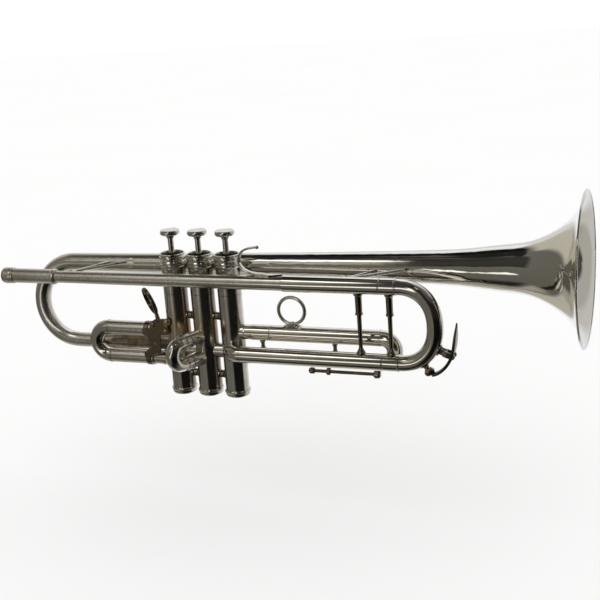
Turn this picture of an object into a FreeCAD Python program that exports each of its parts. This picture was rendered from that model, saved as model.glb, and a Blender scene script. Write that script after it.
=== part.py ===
import FreeCAD, Part
import math, os

# B-flat trumpet with three piston valves.  Millimetres.
# Frame: origin at the centre of the mouthpiece receiver's mouth, +X forward
# towards the bell, +Z up (finger buttons up), -Y the player's right.

os.makedirs("parts", exist_ok=True)
V = FreeCAD.Vector
ORIGIN = V(0, 0, 0)
X_DIR, Y_DIR, Z_DIR = V(1, 0, 0), V(0, 1, 0), V(0, 0, 1)

# ------------------------------------------------------- shared dimensions
# receiver, leadpipe and main tuning slide, all on y = 0
RECEIVER_LEN = 52.8
RECEIVER_R = 6.25
SHANK_R = 4.9            # socket for the mouthpiece shank
SHANK_DEPTH = 26.0
LEADPIPE_R0 = 5.1        # outside radius at the receiver
LEADPIPE_R1 = 6.1        # outside radius at the sleeve
SLEEVE_START_X = 260.6   # upper sleeve
LOW_SLEEVE_START_X = 219.0
SLEEVE_END_X = 339.5
SLEEVE_R = 6.75
LOWER_Z = -61.4          # lower leg of the main tuning slide
CROOK_X = 353.0          # where the crook starts to turn
CROOK_R = 6.45

# tubing shared by the slides
INNER_R = 5.85           # outside radius of inner slide legs
INNER_BORE_R = 5.35
SLEEVE_BORE_R = 5.90     # 0.05 running clearance
KNUCKLE_R = 6.35
KNUCKLE_BORE_R = 5.4

# valves
VALVE_SPACING = 24.77
VALVE_2_X = 180.86
VALVE_1_X = VALVE_2_X - VALVE_SPACING
VALVE_3_X = VALVE_2_X + VALVE_SPACING
VALVE_XS = (VALVE_1_X, VALVE_2_X, VALVE_3_X)
VALVE_Y = 18.06
CASING_R = 10.0
CASING_TOP_Z = 13.2
CASING_BOTTOM_Z = -101.5


# ----------------------------------------------------------------- helpers
def unit(vector):
    result = V(*vector)
    result.normalize()
    return result


def rod(start, end, radius):
    """Round bar between two points."""
    start, end = V(*start), V(*end)
    run = end - start
    return Part.makeCylinder(radius, run.Length, start, run)


def x_rod(x0, x1, y, z, radius):
    return rod((x0, y, z), (x1, y, z), radius)


def cone(start, end, start_r, end_r):
    start, end = V(*start), V(*end)
    run = end - start
    return Part.makeCone(start_r, end_r, run.Length, start, run)


def pipe(start, end, outer_r, bore_r):
    return rod(start, end, outer_r).cut(rod(start, end, bore_r))


def bent_rod(centre, axis, start, angle, radius):
    """Round bar bent about an axis, from the point start."""
    centre, axis, start = V(*centre), unit(axis), V(*start)
    normal = axis.cross(start - centre)
    face = Part.Face(Part.Wire([Part.Circle(start, normal, radius).toShape()]))
    return face.revolve(centre, axis, angle)


def turned(profile, base, axis, side=None):
    """Turned part: profile rows are (distance along the axis from base, radius)."""
    base, axis = V(*base), unit(axis)
    if side is None:
        side = Z_DIR if abs(axis.z) < 0.9 else X_DIR
    radial = unit(side - axis * side.dot(axis))
    points = [base + axis * along + radial * r for along, r in profile]
    points.append(points[0])
    return Part.Face(Part.makePolygon(points)).revolve(base, axis, 360)


def plate(outline, y0, y1):
    """Flat plate from an (x, z) outline, between two y planes."""
    points = [V(x, y0, z) for x, z in outline]
    points.append(points[0])
    return Part.Face(Part.makePolygon(points)).extrude(V(0, y1 - y0, 0))


def fuse(*shapes):
    result = shapes[0]
    for shape in shapes[1:]:
        result = result.fuse(shape)
    return result.removeSplitter()


def largest(shape):
    """The biggest solid left after a cut."""
    return max(shape.Solids, key=lambda solid: solid.Volume)


def path_tangents(points):
    last = len(points) - 1
    return [unit(points[min(i + 1, last)] - points[max(i - 1, 0)]) for i in range(last + 1)]


def swept(points, radii, start_tangent, end_tangent=None):
    """Round bar of changing radius through a list of points."""
    tangents = path_tangents(points)
    first = tangents[0]
    side = Y_DIR if abs(first.y) < 0.9 else Z_DIR
    side = unit(side - first * side.dot(first))
    sides = [side]
    # carry the side vector along so that the sections do not twist
    for tangent in tangents[1:]:
        side = unit(side - tangent * side.dot(tangent))
        sides.append(side)
    tangents[0] = unit(start_tangent)
    if end_tangent is not None:
        tangents[-1] = unit(end_tangent)
    wires = []
    for point, tangent, side, radius in zip(points, tangents, sides, radii):
        side = unit(side - tangent * side.dot(tangent))
        other = tangent.cross(side)
        placing = FreeCAD.Matrix(side.x, other.x, tangent.x, point.x,
                                 side.y, other.y, tangent.y, point.y,
                                 side.z, other.z, tangent.z, point.z,
                                 0, 0, 0, 1)
        circle = Part.Circle(ORIGIN, Z_DIR, radius)
        circle.transform(placing)
        wires.append(Part.Wire([circle.toShape()]))
    return Part.makeLoft(wires, True, False)


def swept_flat(points, widths, thicknesses):
    """Flat bar through points in an XZ plane, its width along Y."""
    corner_power = 0.45      # below 1 squares the oval section
    ring_count = 12
    wires = []
    for point, tangent, width, thickness in zip(points, path_tangents(points),
                                                widths, thicknesses):
        normal = unit(tangent.cross(Y_DIR))
        ring = []
        for k in range(ring_count):
            angle = 2 * math.pi * (k + 0.5) / ring_count
            cos, sin = math.cos(angle), math.sin(angle)
            across = math.copysign(abs(cos) ** corner_power, cos)
            through = math.copysign(abs(sin) ** corner_power, sin)
            ring.append(point + Y_DIR * (width / 2 * across)
                        + normal * (thickness / 2 * through))
        curve = Part.BSplineCurve()
        curve.interpolate(ring, PeriodicFlag=True)
        wires.append(Part.Wire([curve.toShape()]))
    return Part.makeLoft(wires, True, False)


def spaced_points(stations, count):
    """Evenly spaced points on a smooth curve through (x, z) stations on y = 0."""
    curve = Part.BSplineCurve()
    curve.interpolate([V(x, 0, z) for x, z in stations])
    return list(curve.toShape().discretize(count))


def valve_point(x, z):
    return V(x, VALVE_Y, z)


def valve_rod(x, z0, z1, radius):
    return rod(valve_point(x, z0), valve_point(x, z1), radius)


def valve_turned(profile, x):
    """Part turned about a valve's axis: profile rows are (z, radius)."""
    return turned(profile, valve_point(x, 0), Z_DIR)


def valve_box(x, width, depth, z0, height):
    """Box centred on a valve's axis, width along X and depth along Y."""
    corner = V(x - width / 2, VALVE_Y - depth / 2, z0)
    return Part.makeBox(width, depth, height, corner)


def casing_bar(x):
    """Solid bar of casing radius, for trimming what meets a casing."""
    return valve_rod(x, CASING_BOTTOM_Z - 6, CASING_TOP_Z + 10, CASING_R)


# -------------------------------------------------- receiver and leadpipe
# outside of the leadpipe ahead of the receiver: (x, radius)
LEADPIPE_OUTSIDE = [(90.0, LEADPIPE_R0 + 0.2), (180.0, LEADPIPE_R1 - 0.35),
                    (SLEEVE_START_X, LEADPIPE_R1)]


def mouthpiece_receiver():
    return turned([
        (0.0, 5.6), (0.5, 6.3), (1.6, 6.75), (3.0, 7.0), (7.6, 7.0), (9.2, 6.8),
        (10.4, 6.9), (11.3, 6.75), (11.9, 6.25), (49.0, RECEIVER_R), (49.4, 6.5),
        (50.2, 6.75), (51.6, 6.75), (52.4, 6.5), (RECEIVER_LEN, 6.0),
        (RECEIVER_LEN, LEADPIPE_R0), (SHANK_DEPTH, LEADPIPE_R0),
        (SHANK_DEPTH, SHANK_R), (0.0, SHANK_R)], ORIGIN, X_DIR)


def leadpipe():
    """Tapered tube with a spigot that enters the upper sleeve."""
    start_x = SHANK_DEPTH + 0.5
    spigot_end_x = SLEEVE_START_X + 7
    return turned([
        (start_x, LEADPIPE_R0), (RECEIVER_LEN, LEADPIPE_R0), *LEADPIPE_OUTSIDE,
        (SLEEVE_START_X, SLEEVE_BORE_R), (spigot_end_x, SLEEVE_BORE_R),
        (spigot_end_x, 5.4), (180.0, 5.25), (90.0, 4.75), (start_x, 4.5)], ORIGIN, X_DIR)


def leadpipe_bar():
    """Solid leadpipe, for trimming what is soldered to it."""
    return turned([(60, 0), (60, LEADPIPE_R0 + 0.04), *LEADPIPE_OUTSIDE,
                   (SLEEVE_START_X, 0)], ORIGIN, X_DIR)


# ------------------------------------------------ main tuning slide, fixed
ELBOW_R = 10.0
ELBOW_X = VALVE_3_X + ELBOW_R + 1.2      # where the elbow meets the lower leg


def main_slide_sleeves():
    sleeves = []
    for start_x, start_r, z in ((SLEEVE_START_X, 6.45, 0), (LOW_SLEEVE_START_X, 6.5, LOWER_Z)):
        sleeves.append(turned([
            (start_x, start_r), (start_x + 0.4, SLEEVE_R), (SLEEVE_END_X - 0.4, SLEEVE_R),
            (SLEEVE_END_X, 6.5), (SLEEVE_END_X, SLEEVE_BORE_R),
            (start_x, SLEEVE_BORE_R)], (0, 0, z), X_DIR))
    return Part.makeCompound(sleeves)


def elbow(radius):
    """Bar from the lower sleeve, turned towards valve 3."""
    entry_x = ELBOW_X - ELBOW_R
    return fuse(
        x_rod(ELBOW_X, LOW_SLEEVE_START_X, 0, LOWER_Z, radius),
        bent_rod((ELBOW_X, ELBOW_R, LOWER_Z), -Z_DIR, (ELBOW_X, 0, LOWER_Z), 90, radius),
        rod((entry_x, ELBOW_R, LOWER_Z), (entry_x, ELBOW_R + 4, LOWER_Z), radius))


def valve_3_knuckle():
    start_x = LOW_SLEEVE_START_X
    knuckle = elbow(KNUCKLE_R + 0.35)
    knuckle = knuckle.fuse(x_rod(start_x, start_x + 5, 0, LOWER_Z, SLEEVE_BORE_R))
    knuckle = knuckle.cut(elbow(KNUCKLE_BORE_R))
    knuckle = knuckle.cut(x_rod(start_x - 1, start_x + 6, 0, LOWER_Z, KNUCKLE_BORE_R))
    return largest(knuckle.cut(casing_bar(VALVE_3_X)))


# ----------------------------------------------- main tuning slide, moving
CROOK_DEPTH = 28.5               # half axis along X of the crook's centreline
CROOK_HALF_HEIGHT = -LOWER_Z / 2.0
CROOK_POWER = 2.25               # superellipse power, above 2 is squarer


def crook_stations():
    """Evenly spaced points on a half superellipse, from the top leg down."""
    count = 721
    fine = []
    for i in range(count):
        angle = math.pi / 2 - math.pi * i / (count - 1)
        cos, sin = math.cos(angle), math.sin(angle)
        rise = math.copysign(abs(sin) ** (2 / CROOK_POWER), sin)
        fine.append(V(CROOK_X + CROOK_DEPTH * abs(cos) ** (2 / CROOK_POWER), 0,
                      LOWER_Z / 2.0 + CROOK_HALF_HEIGHT * rise))
    return list(Part.makePolygon(fine).discretize(29))


def crook_bar(radius):
    stations = crook_stations()
    return swept(stations, [radius] * len(stations), X_DIR, -X_DIR)


# drain near the bottom of the crook: centre on the tube's axis, and its outward direction
DRAIN_CENTRE = V(369.8, 0, -57.2)
DRAIN_DIR = unit(V(0.541, 0, -0.841))
DRAIN_R = 1.4


def drain_point(distance):
    return DRAIN_CENTRE + DRAIN_DIR * distance


def tuning_slide_crook():
    """The crook with its drain hole, and the nipple around the hole."""
    outer = crook_bar(CROOK_R)
    tube = outer.cut(crook_bar(INNER_BORE_R))
    nipple = fuse(rod(drain_point(5.6), drain_point(9.0), 2.2),
                  cone(drain_point(5.6), drain_point(7.6), 4.2, 2.2))
    nipple = nipple.cut(outer).cut(rod(DRAIN_CENTRE, drain_point(12), DRAIN_R))
    tube = tube.cut(rod(DRAIN_CENTRE, drain_point(8), DRAIN_R))
    return Part.makeCompound([largest(tube), largest(nipple)])


def tuning_slide_legs():
    ferrule_x = SLEEVE_END_X + 0.3
    legs, ferrules = [], []
    for z in (0.0, LOWER_Z):
        ferrules.append(turned([
            (ferrule_x, 6.55), (ferrule_x + 0.4, SLEEVE_R), (CROOK_X - 1.6, SLEEVE_R),
            (CROOK_X - 1.2, 7.0), (CROOK_X - 0.5, 7.0), (CROOK_X, 6.6),
            (CROOK_X, INNER_R), (ferrule_x, INNER_R)], (0, 0, z), X_DIR))
        legs.append(pipe((SLEEVE_START_X + 10, 0, z), (CROOK_X, 0, z), INNER_R, INNER_BORE_R))
    return Part.makeCompound(legs + ferrules)


def main_brace(x):
    """Upright turned brace between the two legs."""
    height = -LOWER_Z
    brace = turned([
        (0.0, 0.0), (0.0, 4.3), (7.0, 3.9), (7.9, 3.1), (9.0, 2.75), (21.3, 2.65),
        (21.8, 3.1), (23.2, 3.1), (23.8, 1.85), (height - 11.5, 1.6), (height - 9.8, 2.1),
        (height - 8.4, 3.0), (height - 7.0, 3.7), (height, 4.0), (height, 0.0)],
        (x, 0, 0), -Z_DIR)
    for z in (0, LOWER_Z):
        brace = brace.cut(x_rod(x - 9, x + 9, 0, z, SLEEVE_R))
    return largest(brace)


def slide_sleeve_brace():
    return main_brace(322.0)


def tuning_slide_brace():
    return main_brace(346.6)


# --------------------------------------------- water key on the main crook
PIVOT = V(389.0, 0, -51.0)
SADDLE_CENTRE = V(378.9, 0, -46.0)
SADDLE_DIR = unit(V(0.864, 0, -0.503))
STRAP_R = 2.3


def strap(start, end, y0, y1):
    """Round-ended flat link in the XZ plane between two points."""
    start, end = V(start.x, y0, start.z), V(end.x, y0, end.z)
    run = unit(end - start)
    offset = V(-run.z, 0, run.x) * STRAP_R
    outline = [start + offset, end + offset, end - offset, start - offset, start + offset]
    link = Part.Face(Part.makePolygon(outline)).extrude(V(0, y1 - y0, 0))
    for point in (start, end):
        link = link.fuse(Part.makeCylinder(STRAP_R, y1 - y0, point, Y_DIR))
    return link


def pivot_rod(y0, y1, radius):
    return rod((PIVOT.x, y0, PIVOT.z), (PIVOT.x, y1, PIVOT.z), radius)


def water_key_cork():
    return rod(drain_point(9.02), drain_point(11.2), 3.1)


def water_key_saddle():
    """Round pad on the crook with two lugs that reach out to the pivot."""
    pad = crook_bar(CROOK_R + 1.0).common(
        rod(SADDLE_CENTRE, SADDLE_CENTRE + SADDLE_DIR * 12, 4.6))
    lug_start = SADDLE_CENTRE + SADDLE_DIR * 3.0
    saddle = pad.fuse(strap(lug_start, PIVOT, -2.4, -1.1))
    saddle = saddle.fuse(strap(lug_start, PIVOT, 1.1, 2.4))
    return largest(saddle.cut(crook_bar(CROOK_R)).cut(pivot_rod(-9, 9, 1.0)))


def water_key_lever():
    """Curved lever with two pivot cheeks and the cup that holds the cork."""
    # (x, z) along the lever, from the free upper tip to the cup
    points = spaced_points([
        (398.3, -26.8), (397.6, -33), (396.8, -39.5), (395.9, -46), (394.0, -53),
        (390.3, -60.2), (385.8, -65.2), (381.8, -67.9), (378.3, -69.0)], 17)
    widths = [1.0, 3.8, 6.6, 8.8, 10.0, 10.4, 10.2, 9.6, 9.0,
              8.2, 7.4, 6.8, 6.4, 6.2, 6.0, 6.0, 5.8]
    thicknesses = [1.0, 1.5, 1.9, 2.2, 2.4] + [2.6] * 12
    cheek_end = V(394.6, 0, -52.9)
    cup = turned([(11.22, 0), (11.22, 3.12), (10.1, 3.12), (10.1, 3.9), (10.6, 4.2),
                  (12.0, 4.2), (13.4, 3.6), (14.3, 2.2), (14.5, 0)],
                 DRAIN_CENTRE, DRAIN_DIR)
    lever = swept_flat(points, widths, thicknesses)
    lever = lever.fuse(strap(PIVOT, cheek_end, 2.55, 3.8))
    lever = lever.fuse(strap(PIVOT, cheek_end, -3.8, -2.55))
    lever = lever.fuse(cup)
    return largest(lever.cut(pivot_rod(-9, 9, 1.0)))


def water_key_pivot_screw():
    return fuse(pivot_rod(-4.2, 4.3, 0.95), pivot_rod(-4.8, -3.85, 1.6))


def coil(pitch, height, coil_r, wire_r, wire_rise):
    """Spring along Z from the origin; wire_rise tilts the wire's section."""
    helix = Part.makeHelix(pitch, height, coil_r)
    section = Part.Circle(V(coil_r, 0, 0), V(0, 1, wire_rise), wire_r)
    return Part.Wire(helix.Edges).makePipeShell([Part.Wire([section.toShape()])], True, True)


def water_key_spring():
    spring = coil(pitch=0.52, height=1.25, coil_r=1.45, wire_r=0.22, wire_rise=0.05)
    spring.rotate(ORIGIN, X_DIR, 90)
    spring.translate(V(PIVOT.x, 0.62, PIVOT.z))
    return spring


# -------------------------------------------------------------------- bell
BELL_Y = 37.74
BELL_Z100 = 3.7          # height of the bell axis at x = 100
BELL_SLOPE = 0.0083      # rise of the bell axis
BELL_RIM_X = 488.0
BELL_RIM_R = 59.9
RIM_WIRE_R = 0.95
BELL_WALL = 0.6
BOW_X = 48.6             # where the bell tube starts to turn down
BOW_R = 7.8              # outside radius of the tube there
BELL_DIR = unit(V(1, 0, BELL_SLOPE))


def bell_axis(x):
    return V(x, BELL_Y, BELL_Z100 + BELL_SLOPE * (x - 100.0))


# outside of the bell: (distance along its axis, radius)
BELL_PROFILE = [
    (BOW_X, BOW_R), (60, 7.9), (90, 8.1), (125, 8.4), (172, 9.1), (228, 10.0), (262, 10.65),
    (300, 11.55), (346, 12.75), (373, 13.7), (398, 15.0), (416, 17.0), (433, 18.9),
    (447, 21.0), (458, 25.2), (466, 29.7), (473, 34.9), (479, 40.9), (484, 48.2),
    (487.3, 56.7), (BELL_RIM_X, 59.3)]

# tail of the bell tube, after the bow, leaning in to valve 1
TAIL_START_Y, TAIL_START_Z = 30.8, -66.4
TAIL_POINTS = [
    (56, 30.75, -66.45), (70, 30.6, -66.2), (84, 30.4, -65.7), (98, 30.0, -65.2),
    (112, 29.3, -64.7), (124, 28.2, -64.3), (136, 26.4, -63.9), (147, 24.3, -63.6),
    (155, 22.7, -63.4)]


def outside_points():
    curve = Part.BSplineCurve()
    curve.interpolate([V(x, r, 0) for x, r in BELL_PROFILE],
                      InitialTangent=V(1, 0.005, 0), FinalTangent=V(0.22, 1, 0))
    return [(p.x, p.y) for p in curve.toShape().discretize(61)]


def inside_points(outside):
    """The outside moved in by the wall, measured square to the surface."""
    last = len(outside) - 1
    inside = []
    for i, (x, r) in enumerate(outside):
        x0, r0 = outside[max(i - 1, 0)]
        x1, r1 = outside[min(i + 1, last)]
        dx, dr = x1 - x0, r1 - r0
        length = math.hypot(dx, dr)
        inside.append((x + dr / length * BELL_WALL, r - dx / length * BELL_WALL))
    inside[0] = (BOW_X, outside[0][1] - BELL_WALL)
    return inside


def meridian(points):
    """Smooth edge through (distance, radius) points, above the bell axis."""
    base = bell_axis(0)
    up = unit(Z_DIR - BELL_DIR * BELL_DIR.z)
    curve = Part.BSplineCurve()
    curve.interpolate([base + BELL_DIR * x + up * r for x, r in points])
    return curve.toShape()


def edge_ends(edge):
    return edge.Vertexes[0].Point, edge.Vertexes[-1].Point


def bell_bar():
    """Solid bell, for trimming the braces that meet it."""
    edge = meridian(outside_points())
    start, end = edge_ends(edge)
    base = bell_axis(0)
    start_axis = base + BELL_DIR * ((start - base).dot(BELL_DIR))
    end_axis = base + BELL_DIR * ((end - base).dot(BELL_DIR))
    wire = Part.Wire([edge, Part.makeLine(end, end_axis),
                      Part.makeLine(end_axis, start_axis), Part.makeLine(start_axis, start)])
    return Part.Face(wire).revolve(base, BELL_DIR, 360)


def bell_stem():
    """Straight tube and flare."""
    outside = outside_points()
    outer_edge = meridian(outside)
    inner_edge = meridian(inside_points(outside))
    outer_start, outer_end = edge_ends(outer_edge)
    inner_start, inner_end = edge_ends(inner_edge)
    wire = Part.Wire([outer_edge, Part.makeLine(outer_end, inner_end),
                      inner_edge, Part.makeLine(inner_start, outer_start)])
    return Part.Face(wire).revolve(bell_axis(0), BELL_DIR, 360)


def bell_bow():
    """Half turn in a leaning plane, then the tail as far as valve 1."""
    top = bell_axis(BOW_X)
    bow_radius = (top.z - TAIL_START_Z) / 2.0
    bow_count = 17
    path, radii = [], []
    for i in range(bow_count):
        angle = math.pi * i / (bow_count - 1)
        drop = (1 - math.cos(angle)) / 2
        path.append(V(BOW_X - bow_radius * math.sin(angle),
                      BELL_Y + (TAIL_START_Y - BELL_Y) * drop,
                      top.z - 2 * bow_radius * drop))
        radii.append(BOW_R + (6.45 - BOW_R) * (i / (bow_count - 1)) ** 1.05)
    for i, point in enumerate(TAIL_POINTS):
        path.append(V(*point))
        radii.append(6.42 - 0.07 * i / (len(TAIL_POINTS) - 1))
    outer = swept(path, radii, -BELL_DIR)
    inner = swept(path, [r - BELL_WALL for r in radii], -BELL_DIR)
    return largest(outer.cut(inner).cut(casing_bar(VALVE_1_X)))


def bell():
    stem, bow = bell_stem(), bell_bow()
    joined = stem.fuse([bow], 0.002)
    if joined.isValid():
        return joined
    # guards against a bad fuse: sew both parts without the ring faces they share
    faces = []
    for part in (stem, bow):
        for face in part.Faces:
            offset = abs((face.CenterOfMass - bell_axis(BOW_X)).dot(BELL_DIR))
            flat = face.Surface.TypeId == "Part::GeomPlane"
            if not (flat and offset < 0.01 and face.Area < 60):
                faces.append(face)
    shell = Part.Shell(faces)
    shell.sewShape(0.01)
    sewn = Part.Solid(shell)
    return sewn if sewn.isValid() else joined


def bell_rim_wire():
    ring = Part.makeTorus(BELL_RIM_R - RIM_WIRE_R, RIM_WIRE_R, bell_axis(BELL_RIM_X), BELL_DIR)
    return largest(ring.cut(bell_stem()))


# ----------------------------------------------- braces to the bell, hook
def stay(start, end, radius, end_r):
    """Round stay from the leadpipe side to the bell side, thicker at each end."""
    start, end = V(*start), V(*end)
    length = (end - start).Length
    return turned([
        (0, 0), (0, end_r), (1.2, end_r), (3.4, radius), (length - 14.5, radius),
        (length - 13.6, end_r * 0.88), (length - 12.0, end_r * 0.93),
        (length - 5.5, end_r), (length, end_r), (length, 0)], start, end - start)


def oval(x, z, half_x, half_z, y0, y1):
    angles = [2 * math.pi * k / 24 for k in range(24)]
    return plate([(x + half_x * math.cos(a), z + half_z * math.sin(a)) for a in angles], y0, y1)


# each brace is a V lying nearly level: one foot on the leadpipe side, two on the bell
def rear_bell_brace():
    foot = (66.5, 3.2, 3.6)
    brace = stay(foot, (89.8, 33.0, 5.4), 1.2, 1.75)
    brace = brace.fuse(stay(foot, (108.8, 33.0, 6.6), 1.05, 1.3))
    brace = brace.fuse(oval(108.6, 5.2, 3.9, 4.3, 29.4, 33.5))
    brace = brace.fuse(oval(66.8, 1.9, 5.2, 3.2, 2.6, 6.0))
    return largest(brace.cut(bell_bar()).cut(leadpipe_bar()))


def front_bell_brace():
    foot = (309.0, 4.0, 3.4)
    brace = stay(foot, (333.4, 31.5, 5.2), 1.3, 2.1)
    brace = brace.fuse(stay(foot, (365.0, 31.0, 7.6), 1.3, 2.1))
    brace = brace.fuse(oval(309.8, 1.9, 6.0, 3.4, 2.5, 7.9))
    return largest(brace.cut(bell_bar()).cut(x_rod(290, 345, 0, 0, SLEEVE_R)))


def pinky_hook():
    """Curled flat hook with a ball tip, on a saddle over the leadpipe."""
    # (x, z) along the hook, from the tip to the saddle
    points = spaced_points([
        (240.6, 29.1), (236.5, 28.7), (231.6, 27.6), (227.6, 25.4), (225.1, 21.8),
        (224.2, 17.6), (225.2, 13.8), (228.0, 10.7), (232.2, 8.6), (238.0, 7.35),
        (246.0, 6.9)], 23)
    widths = [3.0, 3.4, 3.8] + [4.2] * 14 + [4.4, 4.6, 4.8, 5.0, 5.2, 5.4]
    thicknesses = [1.6, 1.7, 1.8] + [1.9] * 20
    foot = x_rod(238, 262, 0, 0, 7.7)
    foot = foot.common(plate([(238, 0), (262, 0), (262, 12), (238, 12)], -9, 9))
    # foot seen from above: (x, y)
    plan = [(238, -2.8), (250, -3.4), (260.2, -0.8), (260.2, 0.8), (250, 3.4), (238, 2.8),
            (238, -2.8)]
    plan_face = Part.Face(Part.makePolygon([V(x, y, 0) for x, y in plan]))
    foot = foot.common(plan_face.extrude(V(0, 0, 12)))
    hook = swept_flat(points, widths, thicknesses)
    hook = hook.fuse(Part.makeSphere(1.5, V(240.8, 0, 29.0))).fuse(foot)
    return largest(hook.cut(leadpipe_bar()))


# ------------------------------------------------------- slide positions
# each LEG_ZS pair is (upper leg, lower leg)
FIRST_Y = 17.0                   # first slide, behind valve 1
FIRST_LEG_ZS = (-48.9, -74.0)
FIRST_END_X = 131.8
FIRST_BEND_X = 88.3
FIRST_R = 6.35

SECOND_ANGLE = math.radians(23.0)    # out to the player's right, turned back
SECOND_DIR = V(-math.sin(SECOND_ANGLE), -math.cos(SECOND_ANGLE), 0)
SECOND_LEG_ZS = (-51.3, -69.7)
SECOND_SLEEVE_END = 19.2         # distances out from the axis of valve 2
SECOND_FERRULE_END = 26.6
SECOND_BEND = 29.15
SECOND_R = 6.2

THIRD_Y = VALVE_Y                # third slide, ahead of valve 3
THIRD_LEG_ZS = (-47.8, -68.4)
THIRD_R = 6.75
THIRD_JOINT_XS = (240.1, 291.4)  # where the sleeve ends, upper and lower
THIRD_BEND_X = 333.8


def second_point(distance, z):
    return valve_point(VALVE_2_X, z) + SECOND_DIR * distance


# ------------------------------------------------------------------ valves
CASING_BORE_R = 8.55
CASING_JOINT_Z = -15.2
PISTON_R = 8.50
PISTON_TOP_Z = 11.2
PISTON_BOTTOM_Z = -84.5
PISTON_PORT_R = 5.2
STROKE = 16.0
STEM_R = 2.45
CAP_RIM_Z = 18.7
BUTTON_TOP_Z = 38.3
BUTTON_UNDER_Z = BUTTON_TOP_Z - 4.4
BUTTON_R = 8.25
CROSSOVER_Z = -64.9
GUIDE_BOTTOM_Z = -21.0
VALVE_PAIRS = ((VALVE_1_X, VALVE_2_X), (VALVE_2_X, VALVE_3_X))

# bores through each casing wall: (start, end)
CASING_HOLES = (
    # valve 1: bell tail, crossover, first slide
    [(V(140, 25.6, -63.75), V(152.6, 23.2, -63.45)),
     (valve_point(VALVE_1_X, CROSSOVER_Z), valve_point(VALVE_2_X, CROSSOVER_Z))]
    + [(V(140, FIRST_Y, z), V(150, FIRST_Y, z)) for z in FIRST_LEG_ZS],
    # valve 2: both crossovers, second slide
    [(valve_point(VALVE_1_X, CROSSOVER_Z), valve_point(VALVE_3_X, CROSSOVER_Z))]
    + [(second_point(0, z), second_point(12, z)) for z in SECOND_LEG_ZS],
    # valve 3: crossover, elbow of the main slide, third slide
    [(valve_point(VALVE_2_X, CROSSOVER_Z), valve_point(VALVE_3_X, CROSSOVER_Z)),
     (V(ELBOW_X - ELBOW_R, 6, LOWER_Z), V(ELBOW_X - ELBOW_R, 14, LOWER_Z))]
    + [(valve_point(VALVE_3_X, z), valve_point(VALVE_3_X + 12, z)) for z in THIRD_LEG_ZS])

# passages of each piston, two ends each: (x and y from the valve's axis, z)
PISTON_WAYS = (
    [((-10, 4.6, -63.5), (10, 0, -64.9)), ((-10, 0, -49.5), (10, 0, -48.5)),
     ((-10, 0, -78.0), (-2, 6, -76.0))],
    [((-10, 0, -64.9), (10, 0, -64.9)), ((-10, 0, -48.5), (10, 0, -48.5)),
     ((-4, -9, -78.0), (4, -9, -78.0))],
    [((-10, 0, -64.9), (0.3, -10, -61.4)), ((-10, 0, -48.5), (10, 0, -47.5)),
     ((10, 0, -78.0), (2, -8, -77.0))])


def keyway(x):
    """Slot across the casing bore that takes the valve guide."""
    bottom = GUIDE_BOTTOM_Z - 0.05
    return valve_box(x, 2.3, 18.6, bottom, CASING_TOP_Z - bottom)


def valve_casing(x, holes):
    casing = pipe(valve_point(x, CASING_BOTTOM_Z), valve_point(x, CASING_JOINT_Z),
                  CASING_R, CASING_BORE_R)
    casing = casing.cut(keyway(x))
    for start, end in holes:
        casing = casing.cut(rod(start, end, KNUCKLE_BORE_R))
    return casing


def valve_balusters():
    """Upper casings, each with a bead below the top cap."""
    profile = [
        (CASING_JOINT_Z, CASING_R - 0.35), (CASING_JOINT_Z + 0.35, CASING_R),
        (7.5, CASING_R), (7.9, CASING_R + 0.35), (8.5, CASING_R + 0.75),
        (9.25, CASING_R + 0.9), (10.0, CASING_R + 0.75), (10.55, CASING_R + 0.3),
        (10.7, CASING_R - 0.1), (CASING_TOP_Z, CASING_R - 0.1),
        (CASING_TOP_Z, CASING_BORE_R), (CASING_JOINT_Z, CASING_BORE_R)]
    return Part.makeCompound([valve_turned(profile, x).cut(keyway(x)) for x in VALVE_XS])


def crossover_tube(x0, x1):
    tube = pipe(valve_point(x0, CROSSOVER_Z), valve_point(x1, CROSSOVER_Z),
                KNUCKLE_R, KNUCKLE_BORE_R)
    return largest(tube.cut(casing_bar(x0)).cut(casing_bar(x1)))


def crossover_tubes():
    return Part.makeCompound([crossover_tube(x0, x1) for x0, x1 in VALVE_PAIRS])


def casing_spacers():
    profile = [(-6, 0), (-6, 4.6), (-2.2, 3.9), (-1.2, 3.3), (1.2, 3.3), (2.2, 3.9),
               (6, 4.6), (6, 0)]
    spacers = []
    for x0, x1 in VALVE_PAIRS:
        for z in (-35.0, -86.0):
            spacer = turned(profile, valve_point((x0 + x1) / 2, z), X_DIR)
            spacers.append(largest(spacer.cut(casing_bar(x0)).cut(casing_bar(x1))))
    return Part.makeCompound(spacers)


def valve_top_caps():
    skirt_z = CASING_TOP_Z - 2.4
    profile = [
        (skirt_z, 10.02), (skirt_z, 10.45), (11.15, 10.75), (11.6, 10.95), (12.1, 10.85),
        (12.6, 10.5), (13.1, 10.4), (13.6, 10.45), (14.0, 10.7), (14.6, 11.0), (15.3, 11.12),
        (16.0, 11.0), (16.5, 10.7), (16.9, 10.45), (17.35, 10.45), (17.7, 10.75),
        (18.2, 10.85), (CAP_RIM_Z - 0.1, 10.65), (CAP_RIM_Z, 10.4), (CAP_RIM_Z, 9.9),
        (18.3, 9.5), (17.4, 9.3), (15.2, 9.2), (15.2, STEM_R + 0.08),
        (13.22, STEM_R + 0.08), (13.22, 10.02)]
    return Part.makeCompound([valve_turned(profile, x) for x in VALVE_XS])


def valve_bottom_caps():
    profile = [
        (-98.0, 10.02), (-98.0, 10.4), (-98.4, 10.75), (-98.9, 11.0), (-99.8, 11.0),
        (-100.3, 10.7), (-100.7, 10.55), (-102.3, 10.45), (-103.4, 9.7), (-104.0, 8.2),
        (-104.3, 5.0), (-104.4, 2.6), (-104.4, 1.6), (-102.4, 1.6), (-102.4, 8.3),
        (-101.55, 8.6), (-101.55, 10.02)]
    return Part.makeCompound([valve_turned(profile, x) for x in VALVE_XS])


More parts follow.
